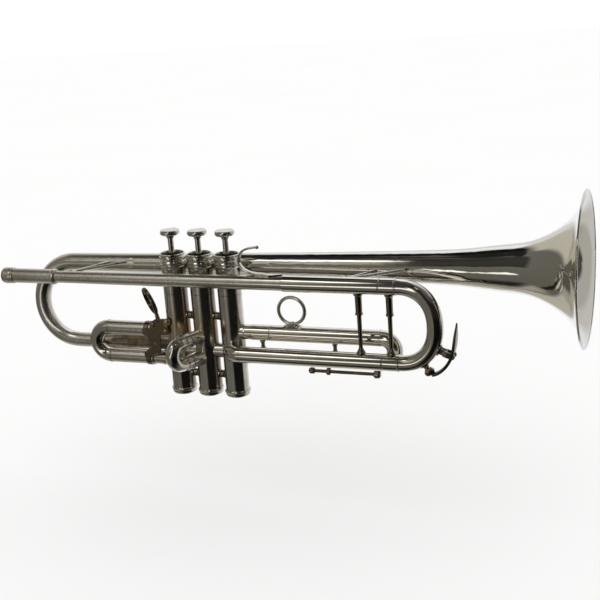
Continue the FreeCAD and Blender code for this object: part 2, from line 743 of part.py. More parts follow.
def finger_button(x):
    """Dished button with a collar below that takes the stem."""
    top, under = BUTTON_TOP_Z, BUTTON_UNDER_Z
    return valve_turned([
        (top - 0.5, 0.0), (top - 0.4, 5.2), (top - 0.12, 6.5), (top, 7.0), (top - 0.14, 7.45),
        (top - 0.7, 7.98), (top - 1.5, 8.22), (top - 2.3, BUTTON_R), (top - 3.1, 8.15),
        (top - 3.8, 7.75), (under + 0.18, 7.25), (under, 6.7), (under - 0.1, 4.4),
        (under - 0.5, 3.5), (under - 2.6, 3.15), (under - 2.6, STEM_R),
        (under + 1.4, STEM_R), (under + 1.4, 0.0)], x)


def valve_stem(x):
    return valve_rod(x, 8.4, BUTTON_UNDER_Z + 1.35, STEM_R)


def valve_piston(x, ways):
    """Ported body with a slotted spring barrel above it."""
    piston = valve_rod(x, PISTON_BOTTOM_Z, PISTON_TOP_Z, PISTON_R)
    piston = piston.cut(valve_rod(x, -24.0, 7.4, 7.35))
    piston = piston.cut(valve_rod(x, 7.0, 12.0, STEM_R))
    piston = piston.cut(valve_box(x, 2.6, 30, GUIDE_BOTTOM_Z - 0.3, 2.6 + STROKE + 0.3))
    for way in ways:
        centre = valve_point(x, (way[0][2] + way[1][2]) / 2)
        for dx, dy, z in way:
            piston = piston.cut(rod(centre, (x + dx, VALVE_Y + dy, z), PISTON_PORT_R))
        piston = piston.cut(Part.makeSphere(PISTON_PORT_R, centre))
    return largest(piston)


def valve_guides():
    """Disc in the barrel with two ears that enter the keyways."""
    guides = []
    for x in VALVE_XS:
        guide = fuse(valve_rod(x, GUIDE_BOTTOM_Z, -19.0, 7.0),
                     valve_box(x, 2.1, 18.4, GUIDE_BOTTOM_Z, 2.0))
        guide = guide.cut(valve_rod(x, -22.0, -18.0, 3.4))
        guides.append(guide.common(valve_rod(x, -22.0, -18.0, 9.25)))
    return Part.makeCompound(guides)


def cap_felts():
    profile = [(15.22, 4.5), (15.22, 8.8), (17.6, 8.8), (17.6, 4.5)]
    return Part.makeCompound([valve_turned(profile, x) for x in VALVE_XS])


def upstroke_felt(x):
    bottom, top, hole_r = PISTON_TOP_Z + 0.02, CASING_TOP_Z - 0.02, STEM_R + 0.02
    return valve_turned([(bottom, hole_r), (bottom, 7.2), (top, 7.2), (top, hole_r)], x)


def valve_spring(x):
    spring = coil(pitch=3.4, height=24.6, coil_r=6.3, wire_r=0.42, wire_rise=0.086)
    spring.translate(valve_point(x, -18.45))
    return spring


# ------------------------------------------------------------- first slide
def first_slide_ports():
    """Fixed inner legs with their knuckles on valve 1."""
    ports = []
    for z in FIRST_LEG_ZS:
        knuckle = turned([(139.5, 0), (139.5, INNER_R), (140.0, KNUCKLE_R),
                          (152, KNUCKLE_R), (152, 0)], (0, FIRST_Y, z), X_DIR)
        port = fuse(x_rod(93.0, 152.0, FIRST_Y, z, INNER_R), knuckle)
        port = port.cut(x_rod(92.0, 153.0, FIRST_Y, z, INNER_BORE_R))
        ports.append(largest(port.cut(casing_bar(VALVE_1_X))))
    return Part.makeCompound(ports)


def first_slide_tubes():
    bend_x, end_x, bead_r = FIRST_BEND_X, FIRST_END_X, 6.8
    profile = [
        (bend_x, 6.3), (bend_x + 0.3, bead_r), (bend_x + 1.5, bead_r),
        (bend_x + 1.9, FIRST_R), (end_x - 2.2, FIRST_R), (end_x - 1.8, bead_r),
        (end_x - 0.5, bead_r), (end_x, 6.4), (end_x, SLEEVE_BORE_R), (bend_x, SLEEVE_BORE_R)]
    return Part.makeCompound([turned(profile, (0, FIRST_Y, z), X_DIR) for z in FIRST_LEG_ZS])


def first_slide_crook():
    centre = (FIRST_BEND_X, FIRST_Y, sum(FIRST_LEG_ZS) / 2)
    start = (FIRST_BEND_X, FIRST_Y, FIRST_LEG_ZS[0])
    outer, inner = [bent_rod(centre, -Y_DIR, start, 180, r)
                    for r in (FIRST_R, INNER_BORE_R + 0.3)]
    return outer.cut(inner)


# thumb ring, and the plates that tie it to both tubes of the first slide
RING_CENTRE = V(132.9, 13.6, -22.9)
RING_TILT = math.radians(8.5)
PLATE_Y0, PLATE_Y1 = 7.6, 9.0

# outlines (x, z) of the plates, all one thickness
RING_PLATES = (
    [(134.4, -39.6), (139.0, -37.2), (151.0, -36.2), (151.5, -37.0), (151.5, -42.6),
     (148.0, -43.6), (134.4, -44.6)],
    [(128.8, -48.2), (134.4, -44.6), (141.6, -43.9), (142.2, -53.0), (141.6, -66.6),
     (135.6, -67.4), (131.6, -58.6)],
    [(140.0, -44.2), (150.4, -43.2), (150.8, -49.8), (141.8, -50.6)])

# screws: x, z, head radius, head height
RING_SCREWS = ((150.2, -39.4, 3.6, 3.2), (148.4, -46.9, 2.3, 2.2), (136.6, -41.6, 2.0, 1.6))


def thumb_ring():
    foot_dir = unit(V(0.467, -0.09, -0.88))
    across_dir = unit(V(0.4645, -0.845, 0.266))
    axis = unit(foot_dir.cross(across_dir))
    axis = unit(axis * math.cos(RING_TILT) + across_dir * math.sin(RING_TILT))
    foot_dir = unit(foot_dir - axis * foot_dir.dot(axis))
    band = turned([(-1.7, 11.1), (-1.5, 11.9), (-0.7, 12.5), (0.7, 12.5), (1.5, 11.9),
                   (1.7, 11.1), (1.3, 10.8), (-1.3, 10.8)], RING_CENTRE, axis, foot_dir)
    post_end = V(141.4, 9.3, -38.6)
    post = cone(RING_CENTRE + foot_dir * 11.8, post_end, 1.5, 2.1)
    post = post.fuse(Part.makeSphere(2.1, post_end))
    collar = [(125.0, FIRST_R), (125.0, 6.8), (125.3, 7.0), (129.2, 7.0), (129.5, 6.8),
              (129.5, FIRST_R)]
    pieces = [post]
    pieces += [plate(outline, PLATE_Y0, PLATE_Y1) for outline in RING_PLATES]
    pieces += [turned(collar, (0, FIRST_Y, z), X_DIR) for z in FIRST_LEG_ZS]
    # blocks between plates and collars, and a peg at the lower collar
    pieces += [
        plate([(125.2, -51.4), (125.2, -46.8), (135.4, -45.4), (135.4, -51.2)], 8.4, 10.8),
        plate([(125.2, -71.4), (125.2, -67.6), (133.0, -62.0), (139.6, -62.0),
               (139.6, -66.4), (129.4, -71.6)], 8.4, 9.9),
        rod((127.5, 9.0, -70.3), (127.5, 12.6, -71.2), 1.65)]
    ring = band
    for piece in pieces:
        ring = ring.fuse(piece)
    # clear the tubes, their end beads and the knuckles
    end_x = FIRST_END_X
    for z in FIRST_LEG_ZS:
        ring = ring.cut(x_rod(118, end_x - 1.9, FIRST_Y, z, FIRST_R))
        ring = ring.cut(x_rod(end_x - 2.3, end_x + 0.01, FIRST_Y, z, 6.8))
        ring = ring.cut(x_rod(end_x, 156, FIRST_Y, z, KNUCKLE_R + 0.3))
    ring = ring.cut(rod((136.8, 5, -58.2), (136.8, 12, -58.2), 1.5))
    for x, z, _, _ in RING_SCREWS:
        ring = ring.cut(rod((x, 5, z), (x, PLATE_Y1 + 0.02, z), 1.0))
    return largest(ring)


def thumb_ring_screws():
    screws = []
    for x, z, head_r, head_h in RING_SCREWS:
        screw = turned([
            (-head_h, 0), (-head_h + 0.1, head_r * 0.5), (-head_h * 0.7, head_r * 0.86),
            (-head_h * 0.35, head_r), (0, head_r), (0, 0.99), (1.35, 0.99), (1.35, 0)],
            (x, PLATE_Y0, z), Y_DIR)
        corner = V(x - head_r - 0.5, PLATE_Y0 - head_h - 0.05, z - 0.3)
        screws.append(screw.cut(Part.makeBox(head_r * 2 + 1, 0.7, 0.6, corner)))
    return Part.makeCompound(screws)


# ------------------------------------------------------------ second slide
def second_slide_sleeves():
    sleeves = []
    for z in SECOND_LEG_ZS:
        start = second_point(5, z)
        sleeve = fuse(rod(start, second_point(SECOND_SLEEVE_END, z), SECOND_R),
                      rod(start, second_point(11.4, z), SECOND_R + 0.25))
        sleeve = sleeve.cut(rod(second_point(4, z), second_point(SECOND_SLEEVE_END + 1, z),
                                SLEEVE_BORE_R))
        sleeve = largest(sleeve.cut(casing_bar(VALVE_2_X)))
        sleeves.append(largest(sleeve.cut(crossover_tube(VALVE_1_X, VALVE_2_X))))
    return Part.makeCompound(sleeves)


def second_slide_legs():
    start, end = SECOND_SLEEVE_END, SECOND_FERRULE_END
    profile = [
        (start + 0.15, SECOND_R), (start + 0.4, SECOND_R + 0.3), (20.6, SECOND_R + 0.35),
        (21.0, SECOND_R + 0.05), (end - 1.0, SECOND_R + 0.05), (end - 0.8, SECOND_R + 0.35),
        (end, SECOND_R + 0.2), (end, INNER_R), (start + 0.15, INNER_R)]
    ferrules = [turned(profile, second_point(0, z), SECOND_DIR) for z in SECOND_LEG_ZS]
    legs = [pipe(second_point(11.0, z), second_point(end, z), INNER_R, INNER_BORE_R)
            for z in SECOND_LEG_ZS]
    return Part.makeCompound(legs + ferrules)


def second_bow(radius):
    centre = second_point(SECOND_BEND, sum(SECOND_LEG_ZS) / 2)
    start = second_point(SECOND_BEND, SECOND_LEG_ZS[0])
    straights = [rod(second_point(SECOND_FERRULE_END, z), second_point(SECOND_BEND, z), radius)
                 for z in SECOND_LEG_ZS]
    return fuse(bent_rod(centre, Z_DIR.cross(SECOND_DIR), start, 180, radius), *straights)


def second_slide_crook():
    return second_bow(SECOND_R).cut(second_bow(INNER_BORE_R + 0.3))


# ------------------------------------------------------------- third slide
def third_slide_sleeves():
    """Knuckles on valve 3 and the outer sleeves ahead of them."""
    knuckle_profile = [(-6, 0), (-6, 6.5), (11.5, 6.5), (12.4, 6.3), (17.2, 6.3),
                       (17.2, 5.9), (21.0, 5.9), (21.0, 0)]
    start_x = VALVE_3_X + 17.22
    knuckles, sleeves = [], []
    for z, end_x in zip(THIRD_LEG_ZS, THIRD_JOINT_XS):
        knuckle = turned(knuckle_profile, (VALVE_3_X, THIRD_Y, z), X_DIR)
        knuckle = knuckle.cut(x_rod(VALVE_3_X, VALVE_3_X + 30, THIRD_Y, z, KNUCKLE_BORE_R))
        knuckles.append(largest(knuckle.cut(casing_bar(VALVE_3_X))))
        sleeves.append(turned([
            (start_x, 6.4), (start_x + 0.3, THIRD_R - 0.1), (end_x - 0.3, THIRD_R - 0.1),
            (end_x, 6.4), (end_x, SLEEVE_BORE_R), (start_x, SLEEVE_BORE_R)],
            (0, THIRD_Y, z), X_DIR))
    return Part.makeCompound(knuckles + sleeves)


def third_slide_legs():
    bend_x = THIRD_BEND_X
    outers, inners = [], []
    for z, joint_x in zip(THIRD_LEG_ZS, THIRD_JOINT_XS):
        outers.append(turned([
            (joint_x + 0.25, 6.5), (joint_x + 0.55, THIRD_R), (bend_x - 1.6, THIRD_R),
            (bend_x - 1.3, 6.95), (bend_x - 0.4, 6.95), (bend_x, 6.6), (bend_x, INNER_R),
            (joint_x + 0.25, INNER_R)], (0, THIRD_Y, z), X_DIR))
        inners.append(pipe((VALVE_3_X + 21.2, THIRD_Y, z), (joint_x + 6.0, THIRD_Y, z),
                           INNER_R, INNER_BORE_R))
    return Part.makeCompound(inners + outers)


def third_slide_crook():
    centre = (THIRD_BEND_X, THIRD_Y, sum(THIRD_LEG_ZS) / 2)
    start = (THIRD_BEND_X, THIRD_Y, THIRD_LEG_ZS[0])
    outer, inner = [bent_rod(centre, Y_DIR, start, 180, r) for r in (6.55, INNER_R)]
    return outer.cut(inner)


def short_brace(x, foot_r):
    height = THIRD_LEG_ZS[0] - THIRD_LEG_ZS[1]
    brace = turned([
        (0, 0), (0, foot_r), (7.0, foot_r), (8.2, 1.9), (9.0, 1.6), (height - 9.0, 1.6),
        (height - 8.2, 1.9), (height - 7.0, foot_r), (height, foot_r), (height, 0)],
        (x, THIRD_Y, THIRD_LEG_ZS[0]), -Z_DIR)
    for z in THIRD_LEG_ZS:
        brace = brace.cut(x_rod(x - 9, x + 9, THIRD_Y, z, THIRD_R))
    return largest(brace)


def third_slide_fixed_brace():
    return short_brace(231.8, 2.8)


def third_slide_brace():
    return short_brace(294.4, 2.4)


def third_finger_ring():
    """Ring on a short flared web and a saddle over the upper leg."""
    centre = V(259.1, THIRD_Y, -28.0)
    leg_z = THIRD_LEG_ZS[0]
    ring = Part.makeTorus(11.2, 1.5, centre, Y_DIR)
    saddle = turned([(251.6, THIRD_R), (252.2, 7.7), (265.8, 7.7), (266.4, THIRD_R)],
                    (0, THIRD_Y, leg_z), X_DIR)
    saddle = saddle.common(Part.makeBox(20, 9.6, 12, V(249, THIRD_Y - 4.8, leg_z)))
    web = turned([(0, 0), (0, 4.6), (1.6, 2.6), (3.6, 1.5), (3.6, 0)],
                 (centre.x, THIRD_Y, leg_z + 7.0), Z_DIR)
    ring = ring.fuse(saddle).fuse(web)
    return largest(ring.cut(x_rod(245, 275, THIRD_Y, leg_z, THIRD_R)))


# stop rod under the third slide
STOP_Y, STOP_Z = 14.6, -77.2
STOP_R = 1.4
STOP_GUIDE_X = 288.9
STOP_FOOT_X = 329.8
STOP_NUT_X = 275.0


def stop_post(x, post_r, profile):
    """Post down from the lower leg to a turned boss on the stop rod's axis."""
    post = rod((x, THIRD_Y, THIRD_LEG_ZS[1]), (x, STOP_Y, STOP_Z), post_r)
    return fuse(post, turned(profile, (x, STOP_Y, STOP_Z), X_DIR))


def stop_rod_guide():
    x, leg_z = STOP_GUIDE_X, THIRD_LEG_ZS[1]
    guide = stop_post(x, 1.6, [(-1.7, 0), (-1.7, 2.3), (-0.9, 3.0), (0.9, 3.0),
                               (1.7, 2.3), (1.7, 0)])
    guide = guide.cut(x_rod(x - 5, x + 5, THIRD_Y, leg_z, THIRD_R - 0.1))
    return largest(guide.cut(x_rod(x - 5, x + 5, STOP_Y, STOP_Z, STOP_R + 0.08)))


def third_slide_stop_rod():
    x, leg_z = STOP_FOOT_X, THIRD_LEG_ZS[1]
    stop = stop_post(x, 1.7, [(-3.0, 0), (-3.0, 2.1), (-1.8, 3.35), (1.2, 3.35),
                              (2.6, 2.1), (2.6, 0)])
    stop = stop.cut(x_rod(x - 6, x + 4.01, THIRD_Y, leg_z, THIRD_R))
    stop = stop.cut(x_rod(THIRD_BEND_X - 1.61, THIRD_BEND_X, THIRD_Y, leg_z, 6.95))
    return largest(stop.fuse(x_rod(STOP_NUT_X - 2.9, x + 1.2, STOP_Y, STOP_Z, STOP_R)))


def stop_rod_nut():
    return turned([(-2.6, STOP_R), (-2.6, 1.9), (-1.5, 2.6), (1.2, 2.6), (2.1, 2.1),
                   (2.1, STOP_R)], (STOP_NUT_X, STOP_Y, STOP_Z), X_DIR)


# ------------------------------------------------------------------ export
def export(name, shape):
    solids = shape.Solids
    piece = solids[0] if len(solids) == 1 else Part.makeCompound(solids)
    piece.exportStep("parts/%s.step" % name)


# each file takes the name of the function that builds it
for build in (
        mouthpiece_receiver, leadpipe, main_slide_sleeves, valve_3_knuckle,
        tuning_slide_crook, tuning_slide_legs, slide_sleeve_brace, tuning_slide_brace,
        water_key_cork, water_key_saddle, water_key_lever, water_key_pivot_screw,
        water_key_spring, bell, bell_rim_wire, rear_bell_brace, front_bell_brace,
        pinky_hook, valve_balusters, crossover_tubes, casing_spacers, valve_top_caps,
        valve_bottom_caps, valve_guides, cap_felts, first_slide_ports,
        first_slide_tubes, first_slide_crook, thumb_ring, thumb_ring_screws,
        second_slide_sleeves, second_slide_legs, second_slide_crook,
        third_slide_sleeves, third_slide_legs, third_slide_crook,
        third_slide_fixed_brace, third_slide_brace, third_finger_ring,
        stop_rod_guide, third_slide_stop_rod, stop_rod_nut):
    export(build.__name__, build())

# numbered pieces, one of each per valve
for i, x in enumerate(VALVE_XS):
    export("valve_casing_%d" % (i + 1), valve_casing(x, CASING_HOLES[i]))
    export("valve_piston_%d" % (i + 1), valve_piston(x, PISTON_WAYS[i]))
    for build in (finger_button, valve_stem, upstroke_felt, valve_spring):
        export("%s_%d" % (build.__name__, i + 1), build(x))
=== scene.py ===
# An old silver-plated trumpet in a studio. Its tubes run along X and its valves stand along Z.
# It hangs over a pale floor and mirrors a painted room. Metres, +Z up.
import math

import bpy
from mathutils import Matrix, Vector

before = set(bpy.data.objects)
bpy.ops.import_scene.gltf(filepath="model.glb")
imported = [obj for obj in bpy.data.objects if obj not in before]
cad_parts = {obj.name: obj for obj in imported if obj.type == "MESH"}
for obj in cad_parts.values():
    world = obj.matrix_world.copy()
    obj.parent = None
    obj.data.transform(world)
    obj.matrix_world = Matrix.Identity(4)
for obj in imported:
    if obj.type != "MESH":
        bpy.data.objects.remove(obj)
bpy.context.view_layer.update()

scene = bpy.context.scene
scene.view_settings.view_transform = "Standard"
scene.view_settings.look = "None"
scene.view_settings.exposure = 0.0
scene.view_settings.gamma = 1.0


def srgb(*channels):
    """Linear RGBA from sRGB channels of 0-255."""
    scaled = [channel / 255.0 for channel in channels]
    linear = [c / 12.92 if c <= 0.04045 else ((c + 0.055) / 1.055) ** 2.4 for c in scaled]
    return (*linear, 1.0)


PLATE = srgb(235, 231, 222)
TARNISH = srgb(168, 148, 112)
HAIRLINE = srgb(190, 183, 168)
BRASS = srgb(206, 168, 98)
BROWN = srgb(98, 76, 50)


# ------------------------------------------------------------------ node help
class NodeNet:
    """Short calls for building a node tree. Any input takes a socket or a plain value."""

    def __init__(self, tree):
        self.tree = tree
        tree.nodes.clear()

    def new(self, kind, inputs=(), **props):
        node = self.tree.nodes.new(kind)
        for name, value in props.items():
            setattr(node, name, value)
        self.fill(node, dict(inputs))
        return node

    def fill(self, node, inputs):
        for key, value in inputs.items():
            if isinstance(value, bpy.types.NodeSocket):
                self.tree.links.new(value, node.inputs[key])
            else:
                node.inputs[key].default_value = value

    def calc(self, operation, *values):
        return self.new("ShaderNodeMath", enumerate(values), operation=operation).outputs[0]

    def add(self, first, second):
        return self.calc("ADD", first, second)

    def mul(self, first, second):
        return self.calc("MULTIPLY", first, second)

    def ramp(self, value, start, end, at_start=0.0, at_end=1.0, curve="LINEAR"):
        """Go from at_start to at_end while value goes from start to end."""
        inputs = {"Value": value, "From Min": start, "From Max": end,
                  "To Min": at_start, "To Max": at_end}
        return self.new("ShaderNodeMapRange", inputs, interpolation_type=curve,
                        clamp=True).outputs[0]

    def step(self, value, start, end, at_start=0.0, at_end=1.0):
        """A ramp with eased ends."""
        return self.ramp(value, start, end, at_start, at_end, curve="SMOOTHSTEP")

    def band(self, value, low, high, soft):
        """1 between low and high, with edges that reach soft to either side."""
        return self.mul(self.step(value, low - soft, low + soft),
                        self.step(value, high - soft, high + soft, 1.0, 0.0))

    def mix(self, factor, under, over):
        return self.new("ShaderNodeMix", {0: factor, 6: under, 7: over},
                        data_type="RGBA").outputs[2]

    def noise(self, vector, scale, detail=3.0, rough=0.5, distortion=0.0,
              stretch=(1, 1, 1), seed=(0, 0, 0)):
        if stretch != (1, 1, 1) or seed != (0, 0, 0):
            vector = self.new("ShaderNodeMapping", {
                "Vector": vector, "Scale": stretch, "Location": seed}).outputs[0]
        return self.new("ShaderNodeTexNoise", {
            "Vector": vector, "Scale": scale, "Detail": detail, "Roughness": rough,
            "Distortion": distortion}).outputs[0]

    def near(self, position, centre, inner, outer):
        """1 within inner metres of centre, falling to 0 at outer."""
        distance = self.new("ShaderNodeVectorMath", {0: position, 1: centre},
                            operation="DISTANCE")
        return self.step(distance.outputs["Value"], inner, outer, 1.0, 0.0)

    def split(self, vector):
        return self.new("ShaderNodeSeparateXYZ", {0: vector}).outputs

    def bump(self, height, strength, distance):
        return self.new("ShaderNodeBump", {
            "Height": height, "Strength": strength, "Distance": distance})


def new_material(name, kind="ShaderNodeBsdfPrincipled"):
    """A material with one shader on its output: material, net, shader, object position."""
    material = bpy.data.materials.new(name)
    material.use_nodes = True
    net = NodeNet(material.node_tree)
    shader = net.new(kind)
    net.new("ShaderNodeOutputMaterial", {"Surface": shader.outputs[0]})
    position = net.new("ShaderNodeTexCoord").outputs["Object"]
    return material, net, shader, position


# ------------------------------------------------------------------ materials
# Noise scale along x, y, z for hairlines that run along an axis, or along none
GRAIN = {"x": (8.0, 420.0, 420.0), "z": (420.0, 420.0, 8.0), "none": (120.0, 120.0, 120.0)}


def plated(name, rough, haze, tarnish, wave, base=PLATE, crevice=0.5, hair=0.25, grain="x",
           brassy=(), grime_and_shade=(), edge=0.0, reach=0.0026, dull=None):
    """Old silver plate: a mirror with haze, smears, hairlines, tarnish and worn spots.

    haze is the roughness added by clouds, wave the unevenness of the tube, hair the strength
    of the hairlines, edge the shine of rubbed edges. crevice is the dirt and painted shade laid
    in gaps as wide as reach. brassy and grime list spots as (centre, inner radius, outer
    radius, amount); grime spots are brown dirt, and on the thumb ring partly painted shade.
    dull is (x start, x end, roughness added below the start).
    """
    material, net, shader, position = new_material(name)
    cloud = net.noise(position, scale=34.0, detail=4.0)
    fine = net.noise(position, scale=300.0, seed=(3.1, 1.7, 8.2))
    smear = net.noise(position, scale=70.0, rough=0.55, distortion=1.2, seed=(9.0, 4.0, 2.0))
    lines = net.noise(position, scale=1.0, detail=2.0, stretch=GRAIN[grain],
                      seed=(5.0, 2.0, 7.0))
    patch = net.noise(position, scale=22.0, detail=4.0, rough=0.55, seed=(1.3, 7.7, 4.2))
    slow = net.noise(position, scale=60.0, detail=2.0, rough=0.4, seed=(2.0, 3.0, 5.0))

    # haze is 0.6 cloud and 0.4 smear; the hairlines roughen it a little more
    clouding = net.add(net.mul(net.ramp(cloud, start=0.35, end=0.68), 0.6),
                       net.mul(net.ramp(smear, start=0.42, end=0.66), 0.4))
    roughness = net.add(rough, net.mul(clouding, haze))
    roughness = net.add(roughness, net.mul(net.ramp(lines, start=0.45, end=0.75), 0.05 * hair))
    if dull:
        # matt where it is handled, bright where it is wiped
        dull_start, dull_end, added = dull
        roughness = net.add(roughness, net.step(net.split(position)[0], dull_start, dull_end,
                                                at_start=added, at_end=0.0))

    # broad patches and a thin film of tarnish, then paler hairlines
    broad = net.mul(net.step(patch, start=0.42, end=0.74), tarnish)
    film = net.mul(net.step(smear, start=0.44, end=0.70), 0.35 * tarnish)
    colour = net.mix(net.add(broad, film), base, TARNISH)
    colour = net.mix(net.mul(net.ramp(lines, start=0.50, end=0.8), 0.10 * hair),
                     colour, HAIRLINE)

    # spots: places, mottling noise, least mottling, tint, added roughness; the brown spots are
    # grime, and some are painted shade
    for spots, mottle, least, tint, added in (
            (brassy, cloud, 0.45, BRASS, 0.08),
            (grime_and_shade, smear, 0.55, BROWN, 0.18)):
        for centre, inner, outer, amount in spots:
            spot = net.mul(net.near(position, centre, inner, outer),
                           net.ramp(mottle, start=0.30, end=0.62, at_start=least))
            spot = net.mul(spot, amount)
            colour = net.mix(spot, colour, tint)
            roughness = net.add(roughness, net.mul(spot, added))

    # dirt that gathers in the crevices, and painted shade: colour darkened wherever ambient
    # occlusion finds a surface close by
    occlusion = net.new("ShaderNodeAmbientOcclusion", {"Distance": reach}, samples=6)
    gap = net.mul(
        net.step(occlusion.outputs["AO"], start=0.25, end=0.80, at_start=1.0, at_end=0.0),
        net.ramp(cloud, start=0.25, end=0.6, at_start=0.7))
    shade_and_dirt = net.mul(gap, crevice)
    colour = net.mix(shade_and_dirt, colour, BROWN)
    roughness = net.add(roughness, net.mul(shade_and_dirt, 0.22))
    if edge > 0:
        # rubbed edges shine through
        pointiness = net.new("ShaderNodeNewGeometry").outputs["Pointiness"]
        rubbed = net.mul(net.step(pointiness, start=0.53, end=0.60), edge)
        colour = net.mix(rubbed, colour, PLATE)

    # slow unevenness of hand-drawn tube, then hairlines
    uneven = net.bump(slow, strength=wave, distance=0.0010)
    scratches = net.bump(net.add(net.mul(lines, 0.8), net.mul(fine, 0.2)),
                         strength=0.008 * hair + 0.001, distance=0.0002)
    net.fill(scratches, {"Normal": uneven.outputs[0]})
    net.fill(shader, {
        "Metallic": 1.0,
        "Base Color": colour,
        "Roughness": net.calc("MINIMUM", roughness, 0.9),
        "Normal": scratches.outputs[0]})
    return material


def felt(name, colour, dark):
    """A matt, grainy fibre, used for felt and cork."""
    material, net, shader, position = new_material(name)
    fibre = net.noise(position, scale=2600.0, detail=4.0, rough=0.7)
    lumps = net.noise(position, scale=300.0, rough=0.6, seed=(4, 1, 2))
    relief = net.bump(net.add(fibre, net.mul(lumps, 0.5)), strength=0.6, distance=0.0003)
    net.fill(shader, {
        "Base Color": net.mix(net.ramp(fibre, start=0.3, end=0.7), dark, colour),
        "Roughness": 0.95,
        "Specular IOR Level": 0.15,
        "Sheen Weight": 0.04,
        "Sheen Roughness": 0.5,
        "Normal": relief.outputs[0]})
    return material


material_of = {}


def coat(material, *pieces):
    for piece in pieces:
        material_of[piece] = material


def each_valve(part):
    return [f"{part}_{number}" for number in (1, 2, 3)]


coat(plated("plated_tube", rough=0.12, haze=0.07, tarnish=0.25, wave=0.05),
     "crossover_tubes", "first_slide_ports", "first_slide_tubes",
     "second_slide_sleeves", "second_slide_legs", "second_slide_crook")
coat(plated("plated_mouthpipe", rough=0.14, haze=0.06, tarnish=0.32, wave=0.02, hair=0.1,
            dull=(0.18, 0.27, 0.09), reach=0.0032, crevice=0.9),
     "mouthpiece_receiver", "leadpipe")
coat(plated("plated_sleeve", rough=0.055, haze=0.05, tarnish=0.20, wave=0.05),
     "main_slide_sleeves", "valve_3_knuckle", "tuning_slide_legs",
     "third_slide_sleeves", "third_slide_legs")
coat(plated("plated_crook", rough=0.06, haze=0.05, tarnish=0.15, wave=0.07, grain="none",
            hair=0.15),
     "tuning_slide_crook", "first_slide_crook", "third_slide_crook")
# second_slide_crook belongs to plated_crook; the rest of the second slide is plain tube
material_of["second_slide_crook"] = material_of["tuning_slide_crook"]
coat(plated("plated_bell", rough=0.045, haze=0.05, tarnish=0.12, wave=0.02, hair=0.1,
            dull=(0.15, 0.25, 0.13),
            brassy=[((0.112, 0.032, -0.060), 0.010, 0.050, 0.35)],
            grime_and_shade=[((0.112, 0.030, -0.066), 0.018, 0.050, 0.85)]),
     "bell", "bell_rim_wire")
# the wide occlusion reach on the casings paints shade into the gaps between them, on top of the
# dirt in their crevices
coat(plated("plated_casing", rough=0.115, haze=0.06, tarnish=0.34, wave=0.05, grain="z",
            crevice=0.85, reach=0.012,
            brassy=[((0.168, 0.010, -0.040), 0.004, 0.022, 0.5),
                    ((0.193, 0.010, -0.040), 0.004, 0.020, 0.5),
                    ((0.156, 0.010, -0.050), 0.006, 0.030, 0.35)]),
     *each_valve("valve_casing"), "valve_balusters")
coat(plated("plated_cap", rough=0.09, haze=0.06, tarnish=0.30, wave=0.03, grain="none",
            hair=0.1),
     "valve_top_caps", "valve_bottom_caps")
coat(plated("plated_fitting", rough=0.12, haze=0.08, tarnish=0.30, wave=0.04, grain="none",
            hair=0.15),
     "pinky_hook", *each_valve("valve_stem"), "third_finger_ring")
# darker base on the braces and spacers: partly tarnish, partly painted shade standing in for
# the dark room they mirror
coat(plated("dark_brace", rough=0.10, haze=0.07, base=srgb(150, 142, 124), tarnish=0.4,
            wave=0.04, grain="none", hair=0.15, edge=0.5),
     "slide_sleeve_brace", "tuning_slide_brace", "casing_spacers",
     "third_slide_fixed_brace", "third_slide_brace")
coat(plated("plated_stay", rough=0.07, haze=0.06, tarnish=0.25, wave=0.03, grain="none",
            hair=0.1, crevice=0.9, reach=0.004),
     "rear_bell_brace", "front_bell_brace")
coat(plated("plated_button", rough=0.13, haze=0.08, tarnish=0.18, wave=0.03, grain="none",
            hair=0.15),
     *each_valve("finger_button"))
# darker base and brown spots on the thumb ring: partly tarnish and grime, partly painted shade
# standing in for the dark reflections of its flat plate
coat(plated("worn_thumb_ring", rough=0.12, haze=0.10, base=srgb(134, 126, 106), tarnish=0.40,
            wave=0.10, grain="none", hair=0.2,
            brassy=[((0.133, 0.0136, -0.023), 0.0, 0.0118, 0.95)],
            grime_and_shade=[((0.145, 0.008, -0.042), 0.004, 0.022, 0.5),
                   ((0.136, 0.009, -0.060), 0.004, 0.016, 0.5)]),
     "thumb_ring")
coat(plated("worn_screw", rough=0.20, haze=0.14, base=srgb(180, 164, 134), tarnish=0.8,
            wave=0.03, grain="none"),
     "water_key_pivot_screw", "thumb_ring_screws")
# darker base on the water key and stop rod: partly tarnish, partly painted shade standing in
# for the dark room they mirror
coat(plated("dark_water_key", rough=0.13, haze=0.09, base=srgb(92, 88, 78), tarnish=0.5,
            wave=0.05, grain="none", edge=0.6),
     "water_key_saddle", "water_key_lever",
     "stop_rod_guide", "third_slide_stop_rod", "stop_rod_nut")
coat(plated("piston_plate", rough=0.16, haze=0.08, base=srgb(200, 198, 192), tarnish=0.1,
            wave=0.03, grain="z"),
     *each_valve("valve_piston"), "valve_guides")
coat(plated("spring_steel", rough=0.25, haze=0.1, base=srgb(150, 146, 140), tarnish=0.3,
            wave=0.03, grain="none"),
     "water_key_spring", *each_valve("valve_spring"))
coat(felt("dark_felt", colour=srgb(34, 29, 24), dark=srgb(12, 10, 8)),
     *each_valve("upstroke_felt"), "cap_felts")
coat(felt("natural_cork", colour=srgb(150, 112, 74), dark=srgb(82, 56, 34)),
     "water_key_cork")

for name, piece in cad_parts.items():
    piece.data.materials.clear()
    piece.data.materials.append(material_of[name])

# ------------------------------------------------------------- mirrored room
# The camera's own axes; BACK points from the trumpet to the camera
RIGHT = Vector((0.928162, 0.364647, -0.074481))
UP = Vector((-0.033944, 0.282230, 0.958746))
BACK = Vector((0.370625, -0.887344, 0.274332))
DEGREES = 180.0 / math.pi

world = bpy.data.worlds.new("studio")
scene.world = world
world.use_nodes = True
sky = NodeNet(world.node_tree)

